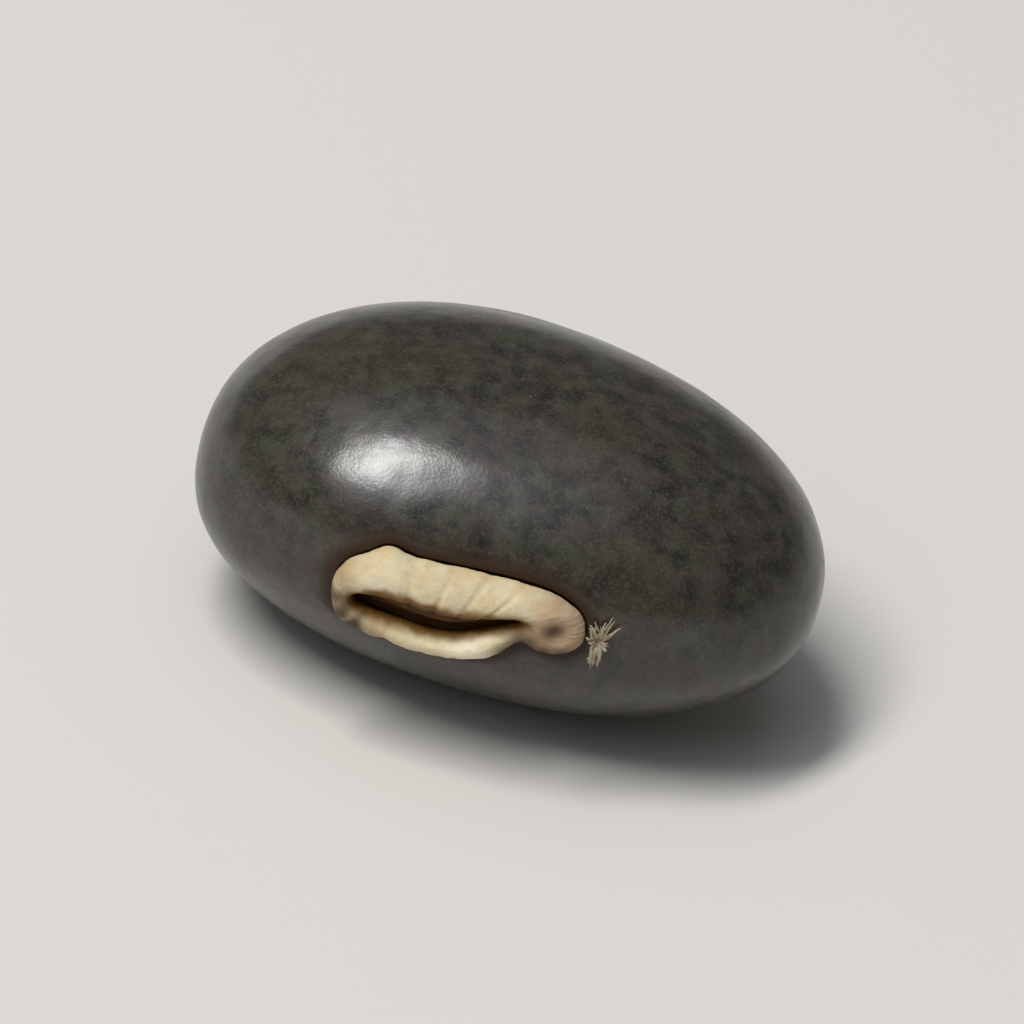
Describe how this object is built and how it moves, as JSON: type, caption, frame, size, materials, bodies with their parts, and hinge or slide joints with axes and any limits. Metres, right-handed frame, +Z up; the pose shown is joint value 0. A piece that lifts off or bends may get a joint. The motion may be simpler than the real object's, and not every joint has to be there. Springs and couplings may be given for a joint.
{
  "type": "velvet bean",
  "caption": "Dry velvet bean seed: a plump dark oblong with a cream collar round the scar on its straighter edge.",
  "frame": {"origin": "middle of the small flat spot that the seed rests on", "axes": "+X along the seed, towards its slimmer end; -Y towards the scar's side; +Z up, square out of the flat spot"},
  "size_m": [0.0154, 0.0114, 0.0082],
  "materials": {
    "seed_coat": "smooth dry seed coat, dark greyish brown with fine mottling, softly shining",
    "aril": "dry, matt, cream"
  },
  "bodies": {
    "root": {"seed": "seed_coat", "rim_aril": "aril"}
  },
  "joints": []
}
